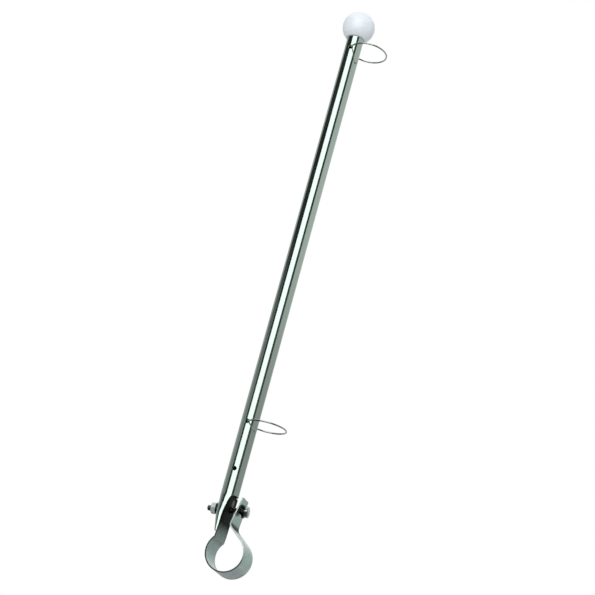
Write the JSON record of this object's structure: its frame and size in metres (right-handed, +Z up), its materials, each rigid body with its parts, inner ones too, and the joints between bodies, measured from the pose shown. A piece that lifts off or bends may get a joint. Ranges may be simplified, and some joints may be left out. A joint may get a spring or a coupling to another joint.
{
  "type": "rail mount flagstaff",
  "caption": "Short steel flagstaff for a boat's rail: ball-topped tube with wire flag rings, its pressed foot bolted to the ears of a strap that clamps round the rail.",
  "frame": {"origin": "on the axis of the rail that the strap grips, at the middle of the strap's width", "axes": "+Z up the staff, Y along the rail, +X along the clamp bolt towards its head"},
  "size_m": [0.0399, 0.029, 0.4366],
  "materials": {
    "polished_steel": "polished stainless tube with fine draw lines along it",
    "satin_steel": "satin stainless sheet, brushed along the band",
    "steel_wire": "bright drawn stainless wire",
    "bolt_steel": "plain bright stainless fasteners",
    "white_plastic": "smooth glossy white moulding"
  },
  "bodies": {
    "staff": {"pole_tube": "polished_steel", "top_ball": "white_plastic", "rail_clamp_strap": "satin_steel", "clamp_bolt": "bolt_steel", "head_washer": "bolt_steel", "nut_washer": "bolt_steel", "lock_washer": "bolt_steel", "clamp_nut": "bolt_steel"},
    "upper_ring": {"upper_flag_ring": "steel_wire"},
    "lower_ring": {"lower_flag_ring": "steel_wire"}
  },
  "joints": [
    {"name": "upper_ring_swing", "type": "hinge", "parent": "staff", "child": "upper_ring", "pos_m": [-0.0107, 0, 0.3905], "axis": [0, 1, 0], "range_deg": [-55, 70]},
    {"name": "lower_ring_swing", "type": "hinge", "parent": "staff", "child": "lower_ring", "pos_m": [-0.0107, 0, 0.0919], "axis": [0, 1, 0], "range_deg": [-70, 70]}
  ]
}
